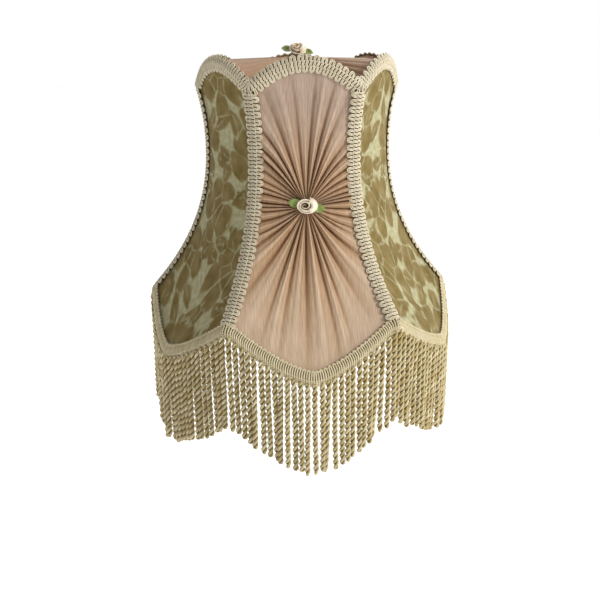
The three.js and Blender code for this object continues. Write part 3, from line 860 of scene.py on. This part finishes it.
def rib_line(corner):
    drop = np.linspace(GIMP_WIDTH - GIMP_OVERHANG - 3.0, RIB_HEIGHT - HEADER_ABOVE + 3.5, 260)
    t = drop / RIB_HEIGHT
    out = unit(outward(corner, 1.0, t) + outward(corner + 1, -1.0, t))
    return braid_line(surface(corner, 1.0, t), out, False)


def edge_line(level, per_panel=160, hanging=False):
    turn = np.linspace(0, SIDES, SIDES * per_panel, endpoint=False) + 0.5 / per_panel
    panel = np.floor(turn)
    u = 2 * (turn - panel) - 1
    return braid_line(surface(panel, u, level), outward(panel, u, level), True, hanging)


for i in range(SIDES):
    lay_gimp(f"scroll_gimp_rib_{i + 1}", rib_line(i), f"rib_gimp_{i + 1}", RIB_FOLD_BACK)
top_line = edge_line(0.0)
sideways_at_arch = top_line["values"][2][80]
down = 1 if sideways_at_arch[2] < 0 else -1
top_line["roll"] = down * TOP_ROLL
lay_gimp("scroll_gimp_top", top_line, "top_gimp", shift=down * GIMP_CENTRE, backed=True)
print("gimp round the top is", round(top_line["total"]), "mm long")

# %% [markdown]
# Bullion fringe is woven in one piece: a narrow header, and cords that leave it side by side. The
# header is a ladder of straw-coloured loops, held by one warp cord near the top and four close
# together at the foot, where the fringe's own cords are caught. It hangs plumb from the bottom wire.
# %% Fringe header
STRANDS_PER_PANEL = 27
HEADER_CORD = 0.68
HEADER_LEGS = 3
HEADER_OFFSET = 3.5


def fringe_header():
    line = edge_line(1.0, hanging=True)
    pitch = 2 * line["total"] / (SIDES * STRANDS_PER_PANEL * HEADER_LEGS)
    along, across, _ = bars_across(line["total"], -HEADER_ABOVE, HEADER_BELOW, pitch, 0.0, True)
    points, normals = lay_on(line, along, across, HEADER_OFFSET + 0.25 * np.sin(across))
    parts = [cord_mesh("loops", points[None], normals[None], HEADER_CORD, STRAW_HEADER, 8, True, body=None)]
    for row, thick in ((-3.6, 0.42), (1.5, 0.5), (2.7, 0.55), (3.9, 0.55), (5.0, 0.55)):
        parts.append(warp_cord(line, row, HEADER_OFFSET + 0.45, thick, STRAW_HEADER, 0.0, 0.3, pitch / 2))
    # A dark sheet behind the loops paints the shade seen between them.
    parts.append(sheet_under_braid(line, 0.8 - HEADER_ABOVE, HEADER_BELOW - 0.6, HEADER_OFFSET - 0.7))
    return join("fringe_header_braid", parts, "fringe_header")


# The third colour is painted shade on the hidden side of each loop.
STRAW_HEADER = rayon_cord("straw rayon header cord", "#dfd2b0", "#c8b98f", "#6a5832")
header = fringe_header()
print("loops in the header", SIDES * STRANDS_PER_PANEL * HEADER_LEGS)

# %% [markdown]
# Each bullion cord is one long yarn twisted hard and let double back on itself, so it is a two-ply
# rope that ends in a small closed loop. The path goes down one ply, round the loop and up the
# other. The cords hang plumb, but no two are quite alike, and a few stray sideways. A twisted
# texture on a plain rod would be flat against the light, so both plies are real.
# %% Bullion cords
STRAND_LENGTH = 79
PLY_RADIUS = 1.28
PLY_ORBIT = 1.16
TWIST_LENGTH = 10.8
FRINGE_OFFSET = 3.8
STRAYS = 2


def bullion_cords(panel):
    random = np.random.default_rng(60 + panel)
    count = STRANDS_PER_PANEL
    dense = np.linspace(-1, 1, 600)
    edge = surface(panel, dense, 1.0)
    plan = np.concatenate([[0], np.cumsum(np.linalg.norm(np.diff(edge[:, :2], axis=0), axis=1))])
    spots = (np.arange(count) + 0.5) / count * plan[-1] + random.normal(0, 0.25, count)
    u = np.interp(spots, plan, dense)
    top = surface(panel, u, 1.0)
    tangent = unit((surface(panel, u + 0.01, 1.0) - surface(panel, u - 0.01, 1.0)) * [1, 1, 0])
    out = np.cross(tangent, [0.0, 0.0, 1.0])
    length = STRAND_LENGTH + random.normal(0, 0.9, count)
    down = np.linspace(0, 1, 130)[None] * (length - PLY_ORBIT - PLY_RADIUS)[:, None]
    phase = random.uniform(0, 2 * math.pi, count)[:, None]
    pitch = TWIST_LENGTH * random.normal(1, 0.05, count)[:, None]
    angle = phase + 2 * math.pi * down / pitch
    sway = random.normal(0, 0.9, count)
    sway[random.choice(count - 4, STRAYS, replace=False) + 2] += random.choice([-3.0, 3.0], STRAYS)
    share = down / STRAND_LENGTH
    side_shift = sway[:, None] * share**1.6 + 0.3 * share * np.sin(share * 7 + phase)
    out_shift = FRINGE_OFFSET + random.normal(0, 0.8, count)[:, None] * share
    out_shift = out_shift + 0.3 * share * np.sin(5 * share + 2 * phase)
    hang = np.array([0, 0, 1.0]) * (down + HEADER_BELOW - 2.5)[..., None]
    moved = tangent[:, None] * side_shift[..., None] + out[:, None] * out_shift[..., None]
    axis = top[:, None] + moved - hang
    first = tangent[:, None] * np.cos(angle)[..., None] + out[:, None] * np.sin(angle)[..., None]
    bow = np.linspace(0, math.pi, 7)[1:-1]
    loop = first[:, -1:] * np.cos(bow)[None, :, None] - np.array([0, 0, 1.0]) * np.sin(bow)[None, :, None]
    normals = np.concatenate([first, loop, -first[:, ::-1]], 1)
    spread = (PLY_ORBIT * np.clip(down / 4 + 0.4, 0, 1))[..., None]
    paths = [axis + first * spread, axis[:, -1:] + loop * PLY_ORBIT, (axis - first * spread)[:, ::-1]]
    name = f"bullion_fringe_{panel + 1}"
    made = cord_mesh(name, np.concatenate(paths, 1), normals, PLY_RADIUS, STRAW, 8, body=None)
    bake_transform(made)
    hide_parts(f"fringe_top_{panel + 1}", f"fringe_skirt_{panel + 1}")
    return made


# The third colour is painted shade in the grooves where the two plies of each cord press together.
STRAW = rayon_cord("straw rayon bullion cord", "#d6c9a2", "#ab955b", "#7d6838")
for panel in range(SIDES):
    bullion_cords(panel)
print("cords in the fringe", SIDES * STRANDS_PER_PANEL)

# %% [markdown]
# A ribbon rose is a length of satin ribbon rolled round itself, each turn folded over a little more
# and lower than the last. The mesh is that ribbon: a strip that winds outwards in a spiral, with
# its top edge rolled over, and one more petal folded out on the right. The leaves are short ends of
# green ribbon, pinched along the middle. The top rose leans forward on a gathered foot of ribbon.
# %% Ribbon roses
ROSE_TURNS = 3.2
BUD_SHIFT = 1.8


def satin_ribbon(name, light, dark):
    """Long floats of thread give satin its streaky soft gloss."""
    material, tree, shader = new_material(name)
    place = add_node(tree, "ShaderNodeUVMap", uv_map="metres").outputs["UV"]
    along = {"Vector": place, "Scale": (300, 2500, 1)}
    stretched = add_node(tree, "ShaderNodeMapping", along).outputs["Vector"]
    threads = add_node(tree, "ShaderNodeTexNoise", {"Vector": stretched, "Scale": 1.0, "Detail": 2.0})
    colour = ramp(tree, threads.outputs["Fac"], [(0.3, dark), (0.7, light)])
    tree.links.new(colour, shader.inputs["Base Color"])
    roughen(tree, shader, threads.outputs["Fac"], 0.2, 0.0001)
    set_shader(shader, Roughness=0.38, Sheen_Weight=0.1)
    return material


ROSE = satin_ribbon("ivory peach satin ribbon", "#fff4e0", "#f0ddc0")
LEAF = satin_ribbon("moss green satin ribbon", "#93a455", "#5f7030")


def rose_points(width, height, squeeze):
    """A spiral ribbon on the XY plane, facing +Z, with its bud left of the middle."""
    turn = np.linspace(0, 2 * math.pi * ROSE_TURNS, 280)[None]
    across = np.linspace(0, 1, 10)[:, None]
    share = turn / turn.max()
    radius = 0.35 + (width / 2 - 1.6) * share**0.8
    ruffle = 0.4 * np.sin(turn * 1.7 + 1) * share
    rim = height * (1 - 0.62 * share**1.3) + ruffle
    lift = rim * (0.35 + 0.65 * np.sin(across * 0.7 * math.pi))
    lift = lift * np.where(share > 0.72, 1 - (1 - across) * (share - 0.72) * 3.2, 1)
    spread = radius * (0.8 + 0.2 * across) + 1.5 * share * across**3 + ruffle * across
    x = spread * np.cos(turn) - BUD_SHIFT * (1 - share)
    y = spread * np.sin(turn) * squeeze
    uv = np.stack(np.broadcast_arrays(radius * turn, across * 6), -1)
    return np.stack([x, y, np.maximum(lift, 0.1)], -1), uv


def petal_points(width, height, squeeze):
    """One outer petal, folded over on the bud's right side."""
    a = np.linspace(-1, 1, 24)[None]
    b = np.linspace(0, 1, 12)[:, None]
    swing = a * 1.15
    out = width / 2 * (0.40 + 0.62 * b) * (1 - 0.12 * a**2)
    z = height * (0.80 + 0.22 * np.sin(math.pi * b) - 0.75 * b**2) - 0.8 * a**2
    points = np.stack([out * np.cos(swing), out * np.sin(swing) * squeeze * 1.05, np.maximum(z, 0.2)], -1)
    return points, np.stack(np.broadcast_arrays(a * width / 2, b * 6), -1)


def leaf_points(length, width, start):
    along = np.linspace(0, 1, 16)[None]
    across = np.linspace(-1, 1, 9)[:, None]
    half = width / 2 * np.sin(math.pi * np.clip(along * 0.93 + 0.05, 0, 1)) ** 0.7
    x = start + along * length + 0 * across
    y = across * half
    pinch = 1.4 * np.abs(across) * half / width
    z = 0.6 + pinch + 1.2 * along * (1 - along) + 0.3 * np.sin(along * 9 + across)
    return np.stack([x, y, z], -1), np.stack(np.broadcast_arrays(x, y), -1)


def stand_on(points, origin, facing):
    level = unit(np.cross([0, 0, 1.0], facing)) if abs(facing[2]) < 0.9 else np.array([1.0, 0, 0])
    rise = np.cross(facing, level)
    return origin + points[..., :1] * level + points[..., 1:2] * rise + points[..., 2:] * facing


def rose_foot(origin, facing, width, ground):
    """The ribbon's gathered foot: a short cone from the rose's underside down to the cloth."""
    turn = np.linspace(0, 2 * math.pi, 32, endpoint=False)[None]
    share = np.linspace(0, 1, 8)[:, None]
    disc = np.stack([np.cos(turn), np.sin(turn), 0 * turn], -1)
    rim = stand_on(disc * width * 0.36 + [0, 0, 0.6], origin, facing)
    base = disc * width * 0.30 * [1, 0.8, 0] + [0, origin[1] + 1.0, ground]
    points = rim * (1 - share[..., None]) + base * share[..., None]
    return points, np.stack(np.broadcast_arrays(turn * width * 0.3, share * 6), -1)


def ribbon_rose(name, origin, facing, width, height, squeeze, rose_node, leaf_node, ground=None):
    parts = []
    if ground is not None:
        points, uv = rose_foot(origin, facing, width, ground)
        parts.append(sheet_mesh(name, points, uv, ROSE, ring=True, body=None))
    for points, uv in (rose_points(width, height, squeeze), petal_points(width, height, squeeze)):
        parts.append(sheet_mesh(name, stand_on(points, origin, facing), uv, ROSE, body=None))
    join(name, parts, rose_node)
    leaves = []
    for sign, droop in ((-1, 0.25), (1, -0.2)):
        points, uv = leaf_points(10.5, 7.0, width / 2 - 4.5)
        spin = np.array(Matrix.Rotation(droop, 3, "Z"))
        points = (points @ spin.T) * [sign, 1, 1]
        leaves.append(sheet_mesh(f"{name}_leaf", stand_on(points, origin, facing), uv, LEAF, body=None))
    join(f"{name}_leaves", leaves, leaf_node)


rosette = ROSETTE_DROP / RIB_HEIGHT
for k in range(3):
    facing = outward(2 * k, 0.0, rosette)
    origin = surface(2 * k, 0.0, rosette) + facing * 4.2
    ribbon_rose(f"ribbon_rose_{k + 1}", origin, facing, 17, 6.5, 0.8, f"rose_{k + 1}", f"leaves_{k + 1}")
crown_level = FITTER_DEPTH + CROWN_HEIGHT
crown = np.array([0, 0, crown_level + 4.2])
lean = unit(np.array([0.0, -0.7, 0.72]))
ground = crown_level - 0.5
ribbon_rose("ribbon_rose_top", crown, lean, 14.5, 8, 0.9, "top_rose", "top_leaves", ground)
print("ribbon roses, with", ROSE_TURNS, "turns of ribbon each:", 4)

# %% [markdown]
# The frame is steel wire dipped in cream enamel, and the fitter ring is brass. Wires, arms and ring
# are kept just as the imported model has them, because they can be seen from below, and only get
# their real materials here.
# %% Wire frame and fitter


def enamelled_wire():
    """Smooth cream paint, slightly cloudy, with a soft highlight along the wire."""
    material, tree, shader = new_material("cream enamelled steel wire")
    place = add_node(tree, "ShaderNodeTexCoord").outputs["Object"]
    cloudy = add_node(tree, "ShaderNodeTexNoise", {"Vector": place, "Scale": 90.0, "Detail": 3.0})
    colour = ramp(tree, cloudy.outputs["Fac"], [(0.3, "#ddd4c0"), (0.7, "#efe9dc")])
    tree.links.new(colour, shader.inputs["Base Color"])
    set_shader(shader, Roughness=0.35)
    return material


def dull_brass():
    """Handled brass: a broad blurred highlight over patches of darker yellow."""
    material, tree, shader = new_material("dull brass")
    place = add_node(tree, "ShaderNodeTexCoord").outputs["Object"]
    cloudy = add_node(tree, "ShaderNodeTexNoise", {"Vector": place, "Scale": 120.0, "Detail": 4.0})
    colour = ramp(tree, cloudy.outputs["Fac"], [(0.3, "#a8863f"), (0.7, "#c9a659")])
    tree.links.new(colour, shader.inputs["Base Color"])
    set_shader(shader, Metallic=1.0, Roughness=0.32)
    return material


WIRE = enamelled_wire()
for name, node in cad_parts.items():
    if "wire" in name or "arm" in name:
        node.data.materials.clear()
        node.data.materials.append(WIRE)
    if name == "fitter_ring":
        node.data.materials.clear()
        node.data.materials.append(dull_brass())
wires = [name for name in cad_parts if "wire" in name or "arm" in name]
print("wires and arms kept in metal:", len(wires))

# %% [markdown]
# The size each sheet of cloth was cut to, before it was gathered or stretched, is worked out and printed. A
# cut is the panel's developed shape with a turning, and gathered pieces have fullness added. The fullness
# uses the same fold counts and depths as the meshes above, so it follows them.
TURNING = 8


def length_of(line):
    return float(np.linalg.norm(np.diff(line, axis=0), axis=1).sum())


def panel_measures():
    """The panel on the cutting table, in mm: its edge, length, widest width and area."""
    u, t = np.linspace(-1, 1, 81)[None], np.linspace(0, 1, 121)[:, None]
    grid = surface(0, u, t)
    across, down = grid[:-1, 1:] - grid[:-1, :-1], grid[1:, :-1] - grid[:-1, :-1]
    area = float(np.linalg.norm(np.cross(across, down), axis=-1).sum())
    top, bottom, side, middle = [length_of(line) for line in (grid[0], grid[-1], grid[:, 0], grid[:, 40])]
    rosette = surface(0, 0.0, ROSETTE_DROP / RIB_HEIGHT)
    rim = np.concatenate([grid[0], grid[:, -1], grid[-1], grid[:, 0]])
    reach = float(np.linalg.norm(rim - rosette, axis=1).mean())
    sizes = {"edge": top + bottom + 2 * side, "length": middle, "width": bottom}
    return {**sizes, "area": area, "top": top, "reach": reach}


panel_cut = panel_measures()
print("panel measures in mm", {key: round(value) for key, value in panel_cut.items()})

# The velvet and the cotton are cut to the panel's own shape with a turning on every edge.
shaped_area = (panel_cut["area"] + panel_cut["edge"] * TURNING) * MM**2

# A sunburst is cut as the shaped panel with fullness let in as gores. Round the rose the gores hold
# two sides of each pleat's mean depth, and they run out to nothing at the rim.
sunburst_inner = PLEATS * 2 * PLEAT_DEPTH * sum(PLEAT_SPREAD) / 2
sunburst_area = shaped_area + sunburst_inner * panel_cut["reach"] / 2 * MM**2


def smooth_top_area():
    """The top without its folds: straight lines from the arched edge to the crown, in mm."""
    turn = np.linspace(0, SIDES, 481)
    panel = np.minimum(np.floor(turn), SIDES - 1)
    edge = surface(panel, 2 * (turn - panel) - 1, 0)
    crown = np.array([0, 0, FITTER_DEPTH + CROWN_HEIGHT])
    return float(np.linalg.norm(np.cross(edge[:-1] - crown, edge[1:] - crown), axis=-1).sum() / 2)


# The top is cut the same way: its smooth shape with a turning, and gores at the middle.
top_outer, top_reach = SIDES * panel_cut["top"], TOP_RADIUS + TURNING
top_inner = TOP_FOLDS * 2 * TOP_FOLD_DEPTH * TOP_FOLD_MEAN
top_area = (smooth_top_area() + top_outer * TURNING + top_inner * TOP_RADIUS / 2) * MM**2

# The lining under the top is a plain round.
for title, area in (("shaped panel", shaped_area), ("sunburst", sunburst_area), ("top", top_area)):
    print(title, "is cut from", round(area, 4), "square metres")
